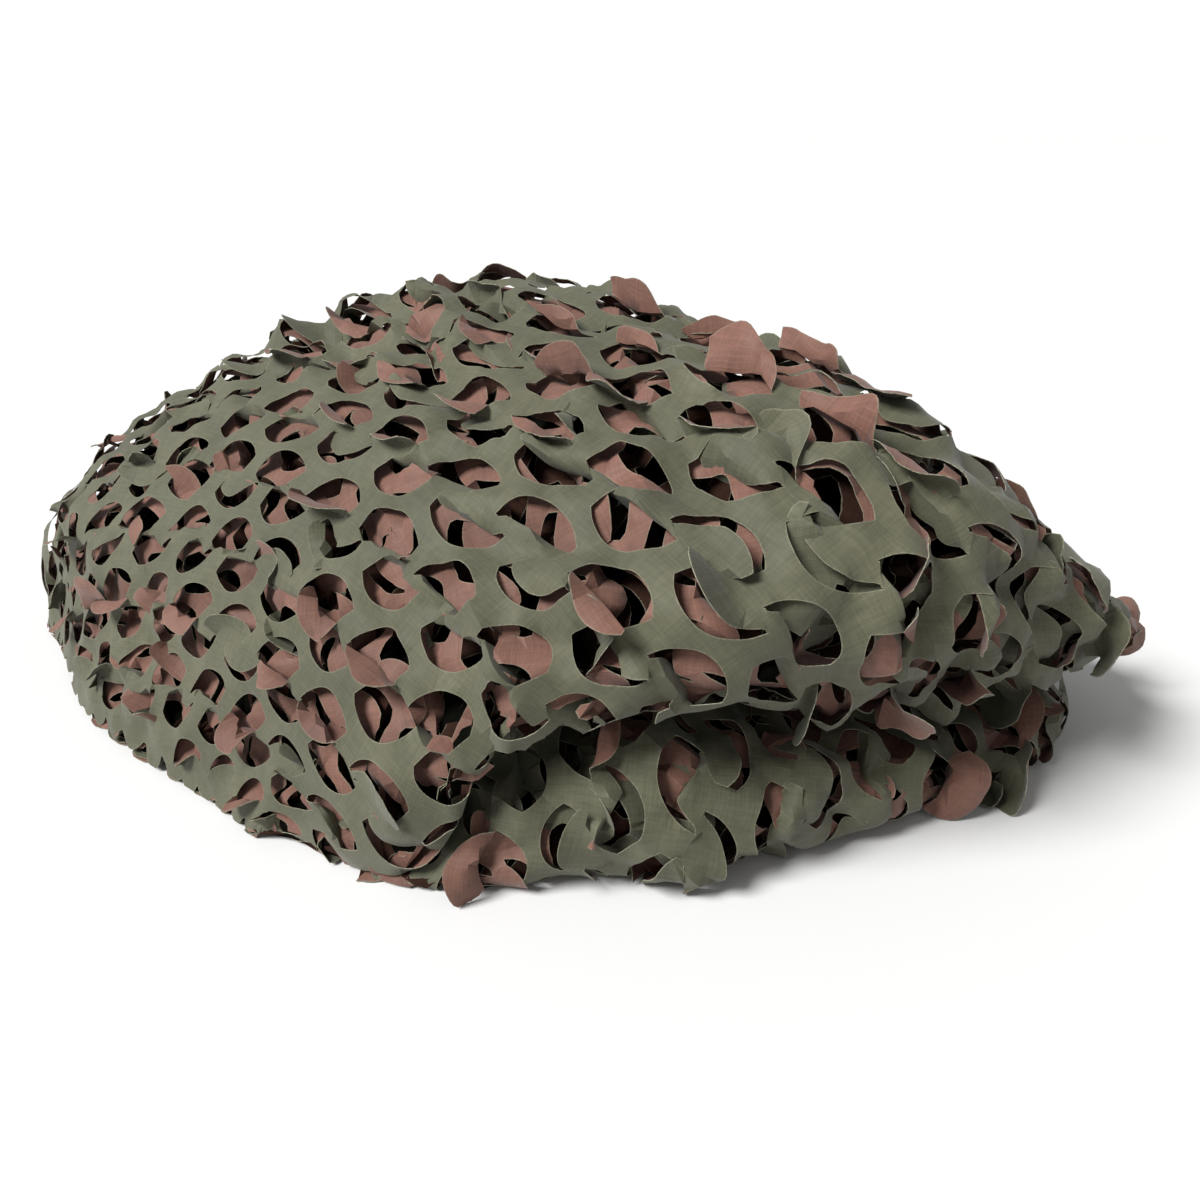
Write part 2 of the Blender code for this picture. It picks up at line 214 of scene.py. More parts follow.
# sections from left to right, mm, and how far they lean, in thousandths
stationNames = ("x", "front", "back", "top", "roof", "floor", "jut", "lean", "toe")
stations = np.array((
    (-268, -190, 256, 4, 2, 1, 0, 0, 0),
    (-262, -194, 262, 26, 18, 6, 0, 0, 0),
    (-252, -200, 270, 66, 34, 10, 0, 0, 0),
    (-236, -212, 318, 104, 37, 14, 6, 0, 0),
    (-205, -252, 334, 158, 46, 26, 14, 0, 0),
    (-150, -296, 332, 212, 70, 48, 20, 0, 0),
    (-60, -348, 326, 264, 125, 104, 18, 0, 10),
    (40, -384, 330, 310, 141, 125, 12, 0, 20),
    (150, -388, 322, 352, 117, 101, 10, 0, 24),
    (245, -368, 304, 360, 91, 76, 8, 0, 20),
    (330, -345, 284, 254, 75, 64, 6, 100, 14),
    (395, -312, 264, 162, 74, 54, 8, 200, 10),
    (432, -272, 262, 120, 78, 44, 10, 300, 10),
    (454, -240, 262, 100, 78, 26, 10, 400, 10),
    (464, -228, 258, 86, 78, 12, 10, 400, 10),
)) / 1000


def easedColumn(name, places):
    # a column of the table at any place, without overshoot between its rows
    xs, ys = stations[:, 0], stations[:, stationNames.index(name)]
    steps = np.diff(xs)
    slopes = np.diff(ys) / steps
    product = slopes[:-1] * slopes[1:]
    total = slopes[:-1] + slopes[1:]
    inner = np.where(product > 0, 2 * product / np.where(np.abs(total) < 1e-9, 1.0, total), 0.0)
    tangents = np.concatenate([slopes[:1], inner, slopes[-1:]])
    i = np.clip(np.searchsorted(xs, places) - 1, 0, len(xs) - 2)
    t = np.clip((places - xs[i]) / steps[i], 0.0, 1.0)
    rise = eased(t)
    lead = t * (1 - t) ** 2 * tangents[i] * steps[i]
    trail = t * t * (t - 1) * tangents[i + 1] * steps[i]
    return ys[i] * (1 - rise) + ys[i + 1] * rise + lead + trail


def sectionSizes(xs):
    # all sizes of the sections at the places xs
    s = {name: easedColumn(name, xs) for name in stationNames[1:]}
    depth = s["back"] - s["front"]
    reach = np.minimum(bundle["spineShare"] * depth, bundle["spineSlenderness"] * s["top"])
    s["spineY"] = s["back"] - reach
    merge = eased(np.clip((bundle["mergeFrom"] - xs) / (bundle["mergeFrom"] - bundle["mergeTo"]), 0, 1))
    s["middle"] = (s["roof"] + s["floor"]) / 2
    s["roof"] = s["roof"] * (1 - merge)
    s["floor"] = s["floor"] * (1 - merge) + bundle["mergedFloor"] * merge
    s["nose"] = s["front"] - s["jut"]
    lobe = s["top"] - s["roof"]
    s["noseZ"] = s["roof"] + bundle["noseShare"] * lobe
    s["noseZ"] = s["noseZ"] * (1 - merge) + bundle["mergedNose"] * s["top"] * merge
    s["chin"] = np.minimum(bundle["chinShare"] * (s["spineY"] - s["nose"]), bundle["chinSlenderness"] * lobe)
    s["chin"] = np.minimum(s["chin"], bundle["chinDepth"]) * (1 - bundle["chinMerged"] * merge)
    return s


def roundCorner(count, power, start, stop):
    # a quarter or half of a rounded square, between two angles in degrees
    turn = np.radians(np.linspace(start, stop, count))
    c, s = np.cos(turn), np.sin(turn)
    return np.sign(c) * np.abs(c) ** (2 / power), np.sign(s) * np.abs(s) ** (2 / power)


def sectionPath(s, i, parts):
    # points (y, z) of section i along the named parts, in the order given
    n = bundle["sectionPoints"]
    line = np.linspace(0.0, 1.0, n)
    v = {name: float(column[i]) for name, column in s.items()}
    toe = v["front"] + v["toe"]
    lip = v["floor"] * (1 - bundle["lipDrop"])
    ys, zs = [], []
    for part, reach in parts:
        if part == "roof":
            start = v["nose"] + v["chin"]
            y = start + min(reach, v["spineY"] - start) * (1 - line)
            z = np.full(n, v["roof"])
        elif part == "chin":
            across, up = roundCorner(n, 2.0, 90.0, 0.0)
            y = v["nose"] + v["chin"] * (1 - across)
            z = v["noseZ"] - (v["noseZ"] - v["roof"]) * up
        elif part == "brow":
            across, up = roundCorner(n, bundle["browPower"], 0.0, 90.0)
            y = v["nose"] + (v["spineY"] - v["nose"]) * (1 - across)
            z = v["noseZ"] + (v["top"] - v["noseZ"]) * up
        elif part == "spine":
            across, up = roundCorner(n, bundle["spinePower"], 90.0, -90.0)
            tall = np.where(up > 0, v["top"] - v["middle"], v["middle"])
            y = v["spineY"] + (v["back"] - v["spineY"]) * across
            z = v["middle"] + tall * up
        elif part == "under":
            y = v["spineY"] - min(reach, v["spineY"] - v["front"]) * line
            z = np.zeros(n)
        elif part == "ground":
            half = v["floor"] / 2
            y = toe + half + min(reach, v["spineY"] - toe - half) * (1 - line)
            z = np.zeros(n)
        elif part == "lowerFront":
            belly = bundle["bellyShare"] * lip
            deep = np.where(line < 0.5, v["floor"] / 2, bundle["slope"] * v["floor"])
            y = toe + deep * (1 - np.sin(line * math.pi))
            z = belly - np.where(line < 0.5, belly, lip - belly) * np.cos(line * math.pi)
        elif part == "mouthFloor":
            start = toe + bundle["slope"] * v["floor"]
            inward = min(reach, v["spineY"] - start) * line
            rise = np.clip(inward / bundle["notch"], 0, 1)
            y = start + inward
            z = lip + (v["floor"] - lip) * rise * rise * (3 - 2 * rise)
        elif part == "mouthBack":
            half = (v["roof"] - v["floor"]) / 2
            y = v["spineY"] + half * np.sin(line * math.pi)
            z = v["middle"] - half * np.cos(line * math.pi)
        ys.append(y)
        zs.append(z)
    return np.concatenate(ys), np.concatenate(zs)


class Skin:
    # a smooth surface that a cloth is laid on, with a flat map of it that stretches as little as may be
    def __init__(self, name, parts, start, end):
        rows, columns = bundle["nodesAlong"], bundle["nodesRound"]
        fine = np.linspace(start, end, bundle["sections"])
        sizes = sectionSizes(fine)
        curves = np.array([self.sectionCurve(sizes, i, parts, fine[i], columns) for i in range(len(fine))])
        spacing = np.linalg.norm(np.diff(curves, axis=0), axis=2).mean(axis=1)
        lengths = np.concatenate([[0.0], np.cumsum(spacing)])
        where = np.interp(np.linspace(0, lengths[-1], rows), lengths, np.arange(len(fine)))
        i = np.clip(where.astype(int), 0, len(fine) - 2)
        t = (where - i)[:, None, None]
        grid = curves[i] * (1 - t) + curves[i + 1] * t
        grid[..., :2] += bundle["shift"]
        normals = np.cross(np.gradient(grid, axis=0), np.gradient(grid, axis=1))
        size = np.linalg.norm(normals, axis=2, keepdims=True)
        self.normals = (normals / np.maximum(size, 1e-12)).reshape(-1, 3)
        self.points = grid.reshape(-1, 3)
        self.index = index = np.arange(rows * columns).reshape(rows, columns)
        quads = np.stack([index[:-1, :-1], index[1:, :-1], index[1:, 1:], index[:-1, 1:]], axis=-1)
        quads = quads.reshape(-1, 4)
        self.triangles = np.concatenate([quads[:, [0, 1, 2]], quads[:, [0, 2, 3]]])
        self.room = self.roomBehind()
        self.flat = self.unfold(name, quads)
        corners = [Vector((a, b, 0.0)) for a, b in self.flat]
        self.tree = BVHTree.FromPolygons(corners, self.triangles.tolist(), all_triangles=True)

    def roomBehind(self):
        # distance from each point through the bundle to the other side, evened out
        solid = BVHTree.FromPolygons(self.points.tolist(), self.triangles.tolist(), all_triangles=True)
        most = bundle["roomMost"]
        room = np.zeros(len(self.points))
        for k, (point, normal) in enumerate(zip(self.points, self.normals)):
            start = Vector(point - normal * bundle["roomStart"])
            found = solid.ray_cast(start, Vector(-normal), most)
            room[k] = found[3] if found[0] is not None else min(most, max(point[2], 0.0))
        rows, columns = self.index.shape
        room = room.reshape(rows, columns)
        rounds = bundle["roomRounds"]
        for k in range(rounds):                      # first only down, then both ways
            wide = np.pad(room, 1, mode="edge")
            around = [wide[a:a + rows, b:b + columns] for a in range(3) for b in range(3)]
            room = np.minimum(room, np.mean(around, axis=0)) if k < rounds / 2 else np.mean(around, axis=0)
        return room.ravel()

    def sectionCurve(self, sizes, i, parts, x, columns):
        y, z = sectionPath(sizes, i, parts)
        length = np.concatenate([[0.0], np.cumsum(np.hypot(np.diff(y), np.diff(z)))])
        at = np.linspace(0.0, length[-1], columns)
        y, z = np.interp(at, length, y), np.interp(at, length, z)
        slide = bundle["shear"] * (y - sizes["front"][i]) + sizes["lean"][i] * z
        run = np.clip((y - sizes["front"][i]) / (sizes["back"][i] - sizes["front"][i]), 0, 1)
        near = np.clip((bundle["bulgeReach"] - (x - stations[0, 0])) / bundle["bulgeReach"], 0, 1)
        slide = slide - bundle["bulge"] * near * near * np.sin(math.pi * run) ** 2
        return np.stack([x + slide, y, z], axis=1)

    def unfold(self, name, quads):
        # the flat map, at real size, with the way round the bundle upright in its middle
        piece = newPiece(name, self.points, quads)
        mesh = piece.data
        mesh.uv_layers.new(name="flat")
        bpy.ops.object.mode_set(mode="EDIT")
        bpy.ops.mesh.select_all(action="SELECT")
        bpy.ops.uv.unwrap(method="MINIMUM_STRETCH", fill_holes=False, margin=0)
        bpy.ops.object.mode_set(mode="OBJECT")
        corners = np.zeros(len(mesh.loops) * 2)
        mesh.uv_layers["flat"].data.foreach_get("uv", corners)
        flat = np.zeros((len(self.points), 2))
        flat[cornersOf(mesh)] = corners.reshape(-1, 2)
        bpy.data.objects.remove(piece)
        bpy.data.meshes.remove(mesh)
        a, b, c = (self.points[self.triangles[:, k]] for k in range(3))
        area = np.linalg.norm(np.cross(b - a, c - a), axis=1).sum()
        a, b, c = (flat[self.triangles[:, k]] for k in range(3))
        flatArea = np.abs(crossed(b - a, c - a)).sum()
        flat *= math.sqrt(area / flatArea)
        middle = self.index[self.index.shape[0] // 2]
        up = flat[middle[-1]] - flat[middle[0]]
        up /= np.linalg.norm(up)
        return (flat - flat.mean(axis=0)) @ np.array([[up[1], up[0]], [-up[0], up[1]]])

    def locate(self, spots):
        # weights of the three corners of the flat triangle under each spot
        which = np.zeros(len(spots), int)
        near = np.zeros((len(spots), 2))
        for k, (a, b) in enumerate(spots):
            found = self.tree.find_nearest(Vector((a, b, 0.0)))
            which[k] = found[2]
            near[k] = found[0][:2]
        corners = self.triangles[which]
        a, b, c = (self.flat[corners[:, k]] for k in range(3))
        whole = crossed(b - a, c - a)
        whole = np.where(np.abs(whole) < 1e-15, 1e-15, whole)
        second = crossed(near - a, c - a) / whole
        third = crossed(b - a, near - a) / whole
        return corners, np.clip(np.stack([1 - second - third, second, third], axis=1), 0.0, 1.0)

    def place(self, spots):
        # point in space, outward way and room behind it for each spot of the flat map
        corners, weights = self.locate(spots)
        point = (self.points[corners] * weights[..., None]).sum(axis=1)
        normal = (self.normals[corners] * weights[..., None]).sum(axis=1)
        room = (self.room[corners] * weights).sum(axis=1)
        return point, normal / np.maximum(np.linalg.norm(normal, axis=1, keepdims=True), 1e-9), room

    def border(self, inset, spacing, tongue):
        # outline of the cloth on the flat map
        i = self.index[inset:self.index.shape[0] - inset, inset:self.index.shape[1] - inset]
        ring = np.concatenate([i[:, 0], i[-1, 1:], i[-2::-1, -1], i[0, -2:0:-1]])
        line = self.flat[np.append(ring, ring[0])]
        length = lengthsAlong(line)
        at = np.linspace(0.0, length[-1], int(length[-1] / spacing), endpoint=False)
        line = evenPlaces(line, length, at)
        # leaf-shaped tongues along the border
        ahead = np.roll(line, -3, axis=0) - np.roll(line, 3, axis=0)
        ahead /= np.linalg.norm(ahead, axis=1, keepdims=True)
        turn = np.sum(crossed(line, np.roll(line, -1, axis=0)))
        inward = np.stack([-ahead[:, 1], ahead[:, 0]], axis=1) * math.copysign(1.0, turn)
        wander = leafCut["tongueWander"] * softNoise(at, at * 0, 3 * tongue, 8)
        wave = np.abs(np.sin(math.pi * at / tongue + wander)) ** leafCut["tongueRoundness"]
        depth, varied = leafCut["tongueDepth"]
        deep = tongue * (depth + varied * softNoise(at, at * 0, 2 * tongue, 9))
        return line + inward * ((1 - wave) * deep)[:, None]


# the die-cut pattern: leaves in chains, turned by half a turn from one to the next
leafCut = {
    "pitch": 0.0355,         # from one cut to the next, along a chain
    "chainGap": 0.0535,      # between two chains
    "chainShift": -0.0167,   # of each chain against the one before it, along it
    "halfHinge": 0.0240,
    "tongue": 0.044,         # along the border, from one leaf-shaped tongue to the next
    "tongueDepth": (0.30, 0.15),    # against that length: in the mean, and how much it varies
    "tongueRoundness": 0.8,
    "tongueWander": 1.5,     # radians
    "tilt": -32.0,           # degrees between the chains and the way round the bundle
    "spread": 0.0048,        # half of how far the cloth is pulled open across the chains
    "spineRamp": 0.009,      # how far from a hinge line the pull is full
    "clear": 1.02,           # a cut this much larger still has to lie on the cloth
}
# outline of one cut, mm from the middle of its hinge: along the hinge, away from it, in two stretches
leafOutline = (
    ((-24, 0), (-28, 6), (-31.5, 14.5)),
    ((-31.5, 14.5), (-24.5, 20.4), (-13.6, 24.6), (-2.2, 24.8), (7.6, 21.3), (15.6, 14.6), (21.6, 6.5),
     (24, 0)),
)


def smoothOutline(stretches, count):
    # Catmull-Rom curve through the points of each stretch, at even steps
    fine = []
    for points in stretches:
        p = np.array(points, float) / 1000
        p = np.concatenate([[2 * p[0] - p[1]], p, [2 * p[-1] - p[-2]]])
        for k in range(1, len(p) - 2):
            t = np.linspace(0, 1, 16, endpoint=False)[:, None]
            a, b, c, d = p[k - 1:k + 3]
            fine.append(0.5 * (2 * b + (c - a) * t + (2 * a - 5 * b + 4 * c - d) * t ** 2
                               + (3 * b - a - 3 * c + d) * t ** 3))
    fine = np.concatenate(fine + [p[-2:-1]])
    length = lengthsAlong(fine)
    return evenPlaces(fine, length, np.linspace(0, length[-1], count + 1))


def insidePolygon(points, polygon):
    inside = np.zeros(len(points), bool)
    x, y = points[:, 0], points[:, 1]
    for (ax, ay), (bx, by) in zip(polygon, np.roll(polygon, -1, axis=0)):
        crosses = (ay > y) != (by > y)
        if ay != by:
            inside ^= crosses & (x < (bx - ax) * (y - ay) / (by - ay) + ax)
    return inside


class Pattern:
    # the chains of cuts on the flat cloth, in their own directions: along the chains, and across them
    def __init__(self, centre, turn, cut):
        tilt = math.radians(leafCut["tilt"] + turn)
        self.toFlat = np.array([[math.sin(tilt), math.cos(tilt)], [math.cos(tilt), -math.sin(tilt)]])
        self.centre = centre
        self.gap, self.pitch, self.shift = leafCut["chainGap"], leafCut["pitch"], leafCut["chainShift"]
        self.spread = leafCut["spread"] if cut else 0.0
        self.squeeze = self.gap / (self.gap + 2 * self.spread)

    def onCloth(self, spots):
        return spots @ self.toFlat + self.centre

    def fromCloth(self, spots):
        return (spots - self.centre) @ np.linalg.inv(self.toFlat)

    def hingeMiddle(self, k, chain):
        return np.array([k * self.pitch + chain * self.shift, chain * self.gap])

    def cells(self, arc, border):
        # the cuts that lie wholly on the cloth, each by its number in its chain and its chain
        reach = np.linalg.norm(border.max(axis=0) - border.min(axis=0)) / 2 + 0.1
        last = int(reach / self.gap)
        cells = []
        for chain in range(-last, last + 1):
            slide = chain * self.shift
            first, stop = int((-reach - slide) / self.pitch), int((reach - slide) / self.pitch) + 1
            cells += [(k, chain) for k in range(first, stop)]
        clear = leafCut["clear"]
        tests = [self.onCloth(arc * (clear if k % 2 == 0 else -clear) + self.hingeMiddle(k, chain))
                 for k, chain in cells]
        whole = insidePolygon(np.concatenate(tests), border).reshape(len(cells), len(arc)).all(axis=1)
        return [cell for cell, good in zip(cells, whole) if good]

    def leafAt(self, spots, leaves, arc):
        # number of the leaf that each spot lies on, or -1
        owner = np.full(len(spots), -1)
        numbers = {leaf["cell"]: number for number, leaf in enumerate(leaves)}
        nearest = np.round(spots[:, 1] / self.gap).astype(int)
        for chain in (nearest - 1, nearest, nearest + 1):
            along = spots[:, 0] - chain * self.shift
            for step in (-1, 0, 1):
                k = np.round(along / self.pitch).astype(int) + step
                side = np.where(k % 2 == 0, 1, -1)
                away = spots[:, 1] - chain * self.gap
                local = np.stack([(along - k * self.pitch) * side, away * side], axis=1)
                for t in np.flatnonzero(insidePolygon(local, arc) & (owner < 0)):
                    owner[t] = numbers.get((int(k[t]), int(chain[t])), -1)
        return owner

    def pullOpen(self, spots, chain, onLeaf):
        # the cloth is pulled across the chains: the webs move apart and the hinge lines zigzag between them
        beside = spots[:, 1] - chain * self.gap
        spine = -self.spread * np.cos(math.pi * (spots[:, 0] - chain * self.shift) / self.pitch)
        ramp = eased(np.clip(np.abs(beside) / leafCut["spineRamp"], 0, 1))
        goal = np.where(onLeaf, -np.sign(beside), np.sign(beside)) * self.spread
        pulled = spots.copy()
        pulled[:, 1] += chain * 2 * self.spread + spine * (1 - ramp) + goal * ramp
        return pulled


def layCuts(pattern, cells, arc, border, spacing):
    # points and edges of the border, the cuts and the hinges, and the leaves with the points round each
    points, edges, leaves = [border], [(k, (k + 1) % len(border)) for k in range(len(border))], []
    count = len(border)
    half = leafCut["halfHinge"]
    for chain in sorted({cell[1] for cell in cells}):
        hung = []
        for k in [cell[0] for cell in cells if cell[1] == chain]:
            side = 1 if k % 2 == 0 else -1
            origin = pattern.hingeMiddle(k, chain)
            points.append(pattern.onCloth(arc * side + origin)[1:-1])
            hung.append({"origin": origin, "side": side, "cell": (k, chain),
                         "arc": range(count, count + len(arc) - 2),
                         "ends": [round(origin[0] - side * half, 6), round(origin[0] + side * half, 6)]})
            count += len(arc) - 2
        # hinge line of the chain, wherever a leaf hangs from it
        places = sorted({end for leaf in hung for end in leaf["ends"]})
        spans = [(leaf["origin"][0] - half, leaf["origin"][0] + half) for leaf in hung]
        known = {}
        for a, b in zip(places, places[1:]):
            if not any(start <= a + 1e-6 and b - 1e-6 <= stop for start, stop in spans):
                continue
            parts = max(1, round((b - a) / spacing))
            steps = [round(a + (b - a) * p / parts, 6) for p in range(parts + 1)]
            for place in steps:
                if place not in known:
                    known[place] = count
                    points.append(pattern.onCloth(np.array([[place, chain * pattern.gap]])))
                    count += 1
            edges += [(known[p], known[q]) for p, q in zip(steps, steps[1:])]
        for leaf in hung:
            first, last = (known[end] for end in leaf["ends"])
            leaf["ring"] = [first, *leaf["arc"], last]
            edges += list(zip(leaf["ring"], leaf["ring"][1:]))
        leaves += hung
    return np.concatenate(points), edges, leaves


def loosePoints(border, fixed, spacing, seed):
    # points over the rest of the cloth, a little uneven, none close to a cut
    low, high = border.min(axis=0), border.max(axis=0)
    rowSpacing = spacing * 0.866                     # as in even triangles
    us, vs = np.meshgrid(np.arange(low[0], high[0], spacing), np.arange(low[1], high[1], rowSpacing))
    us = us + (np.arange(us.shape[0]) % 2)[:, None] * spacing / 2
    loose = np.stack([us.ravel(), vs.ravel()], axis=1)
    loose += np.random.default_rng(seed).uniform(-0.16, 0.16, loose.shape) * spacing
    cell = 0.5 * spacing
    taken = {(a + da, b + db) for a, b in np.floor(fixed / cell).astype(int)
             for da in (-1, 0, 1) for db in (-1, 0, 1)}
    free = [(a, b) not in taken for a, b in np.floor(loose / cell).astype(int)]
    return loose[insidePolygon(loose, border) & np.array(free)]


def partLeaves(flat, triangles, owner, arcLeaf, still):
    # gives each leaf its own points along its cut, and says which leaf each point moves with
    pointLeaf = np.full(len(flat), -1)
    copies = {}
    for t in np.flatnonzero(owner >= 0):
        pointLeaf[triangles[t]] = owner[t]
    for t in np.flatnonzero(owner >= 0):
        for corner in range(3):
            p = int(triangles[t, corner])
            if arcLeaf.get(p) == owner[t]:
                triangles[t, corner] = copies.setdefault(p, len(flat) + len(copies))
    pointLeaf[still] = -1
    extra = list(copies)
    flat = np.concatenate([flat, flat[extra]]) if extra else flat
    return flat, np.concatenate([pointLeaf, [arcLeaf[p] for p in extra]]).astype(int)


def cutCloth(skin, s):
    # the flat cloth: points, triangles, and for each point its leaf, its place along the hinge and off it
    border = skin.border(s["inset"], s["spacing"], leafCut["tongue"])
    centre = (border.min(axis=0) + border.max(axis=0)) / 2
    pattern = Pattern(centre, s["turn"], s["cut"])
    border = pattern.onCloth(pattern.fromCloth(border) * [1.0, pattern.squeeze])
    arc = smoothOutline(leafOutline, s["arcSteps"])
    cells = pattern.cells(arc, border) if s["cut"] else []
    fixed, edges, leaves = layCuts(pattern, cells, arc, border, s["spacing"])
    points = np.concatenate([fixed, loosePoints(border, fixed, s["spacing"], s["seed"])])
    out = geometry.delaunay_2d_cdt([Vector(p) for p in points], edges, [list(range(len(border)))], 1, 1e-7)
    flat = np.array([tuple(p) for p in out[0]])
    triangles = np.array([face for face in out[2] if len(face) == 3])
    newIndex = {old: new for new, olds in enumerate(out[3]) for old in olds}
    owner = pattern.leafAt(pattern.fromCloth(flat[triangles].mean(axis=1)), leaves, arc)
    arcLeaf = {newIndex[p]: number for number, leaf in enumerate(leaves) for p in leaf["arc"]}
    still = [newIndex[old] for old in range(len(border), len(fixed))]
    flat, pointLeaf = partLeaves(flat, triangles, owner, arcLeaf, still)
    spots = pattern.fromCloth(flat)
    origin = np.array([leaf["origin"] for leaf in leaves]).reshape(-1, 2)
    side = np.array([leaf["side"] for leaf in leaves], int)
    mine = pointLeaf >= 0
    which = pointLeaf[mine]
    along, off = np.zeros(len(flat)), np.zeros(len(flat))
    along[mine] = (spots[mine, 0] - origin[which, 0]) * side[which]
    off[mine] = np.maximum(0.0, (spots[mine, 1] - origin[which, 1]) * side[which])
    chain = np.round(spots[:, 1] / pattern.gap)
    chain[mine] = np.round(origin[which, 1] / pattern.gap)
    return {"flat": pattern.onCloth(pattern.pullOpen(spots, chain, mine)), "pattern": spots,
            "triangles": triangles, "leaf": pointLeaf, "along": along, "off": off, "origin": origin,
            "middles": pattern.onCloth(origin * [1.0, 1.0 / pattern.squeeze]),
            "tipWay": side[:, None] * pattern.toFlat[1], "size": border.max(axis=0) - border.min(axis=0),
            "area": abs(float(np.sum(crossed(border, np.roll(border, -1, axis=0))))) / 2}


def cutDistance(flat, triangles):
    # at each corner of each triangle, how far off the triangle's three sides are, where those sides are cuts
    sides = np.stack([triangles[:, [1, 2]], triangles[:, [2, 0]], triangles[:, [0, 1]]], axis=1)
    code = sides.min(axis=2) * len(flat) + sides.max(axis=2)
    where, counts = np.unique(code.ravel(), return_inverse=True, return_counts=True)[1:]
    isCut = counts[where].reshape(-1, 3) == 1
    a, b, c = (flat[triangles[:, k]] for k in range(3))
    doubleArea = np.abs(crossed(b - a, c - a))
    high = doubleArea[:, None] / np.linalg.norm(flat[sides[..., 0]] - flat[sides[..., 1]], axis=2)
    distance = np.where(isCut[:, None, :], 0.0, 1.0) * np.ones((1, 3, 1))
    for k in range(3):
        distance[:, k, k] = np.where(isCut[:, k], high[:, k], 1.0)
    return distance


def softNoise(u, v, size, seed):
    # smooth noise from -1 to 1 with lumps of the given size
    table = np.random.default_rng(seed).uniform(-1, 1, (64, 64))
    a, b = u / size + 17.3, v / size + 29.1
    i, j = np.floor(a).astype(int), np.floor(b).astype(int)
    s, t = eased(a - i), eased(b - j)
    near, far = (table[(i + d) % 64, j % 64] * (1 - t) + table[(i + d) % 64, (j + 1) % 64] * t for d in (0, 1))
    return near * (1 - s) + far * s


foldShape = {
    "ways": 5,               # directions that cross each other
    "lengths": (0.7, 1.6),   # against the size asked for, as are the next two
    "bend": 0.25,
    "bendSize": 2.3,
    "gain": 1.6,
}


def foldNoise(u, v, size, seed):
    # straight sharp folds in many directions, from -1 to 1
    rng = np.random.default_rng(seed)
    total = np.zeros(len(u))
    for k in range(foldShape["ways"]):
        way = rng.uniform(0, math.pi)
        length = size * rng.uniform(*foldShape["lengths"])
        bendU = u + foldShape["bend"] * size * softNoise(u, v, foldShape["bendSize"] * size, seed + 31 + k)
        phase = (bendU * math.cos(way) + v * math.sin(way)) / length + rng.uniform(0, 1)
        wave = np.abs((phase % 1.0) * 2 - 1) * 2 - 1
        total += wave * (0.5 + 0.5 * softNoise(u, v, 2 * size, seed + 77 + k))
    return total / foldShape["ways"] * foldShape["gain"]


# how a leaf lies where its place decides: sizes in metres, angles in degrees unless a note says otherwise
leafRules = {
    "feel": 0.02,            # how far off its hinge the slope under a leaf is taken
    "steep": 0.35,           # rise or fall for each metre past which weight decides
    "out": 0.6,              # radians: past this a leaf stands out
    "toppled": (135, 162),   # up a slope a leaf that stands out falls over
    "resting": (5, 30),      # down a slope it stays down
    "restingCalm": (-10, 12),
    "fallenIn": (-130, -85),
    "fallenInShare": 0.85,   # of those at the open left
    "thinBend": -0.6,        # radians: no leaf reaches through a thin place
    "groundBend": 0.1,
    "neighbours": 20,        # two leaves that share a hinge don't both turn out further than this
    "crease": (0.002, 0.009),
    "mostSkew": 24,
    "size": 0.032,
    "curlOver": 0.03,        # the curl and the twist are given over this length
    "creaseMiddle": 0.012,
    "creaseShift": 0.006,
    "creaseRamp": 0.006,     # how far from the hinge that crease is full
    "skewClear": 0.9,        # how much of a skewed fold line's reach over the hinge is made up for
    "foldedOver": 2.0,       # radians: past this a leaf lies on the cloth, a little off it
    "foldedRamp": 0.01,
    "posedTwist": 0.4,       # how much of its own twist a leaf set one by one keeps
}


def chooseBend(s, rng, bends, standing, rise, room, height):
    # bend, curl, twist, length of the crease and skew of one leaf, and whether it turns out
    rules = leafRules
    names = list(bends)
    shares = np.array([bends[name][0] for name in names], float)
    pick = names[rng.choice(len(names), p=shares / shares.sum())]
    if standing and bends[pick][2] > rules["neighbours"]:
        pick = names[0]
    low, high = bends[pick][1:]
    standing = high > rules["neighbours"]
    bend = math.radians(rng.uniform(low, high))
    curl = rng.normal(0.0, s["curl"])
    twist = rng.normal(0.0, s["twist"])
    crease = rng.uniform(*rules["crease"])
    skew = math.radians(float(np.clip(rng.normal(0.0, s["skew"]), -rules["mostSkew"], rules["mostSkew"])))
    if bend > rules["out"] and rise > rules["steep"]:
        bend = math.radians(rng.uniform(*rules["toppled"]))
    if bend > rules["out"] and rise < -rules["steep"]:
        bend = math.radians(rng.uniform(*rules["restingCalm" if bends is s["calm"] else "resting"]))
        if bends is s["open"] and rng.random() < rules["fallenInShare"]:
            bend = math.radians(rng.uniform(*rules["fallenIn"]))
    if room < s["thin"]:
        bend = max(bend, rules["thinBend"])
    if height < s["groundClear"]:
        bend = min(abs(bend), rules["groundBend"])
        curl = twist = 0.0
    return [bend, curl, twist, crease, skew], standing


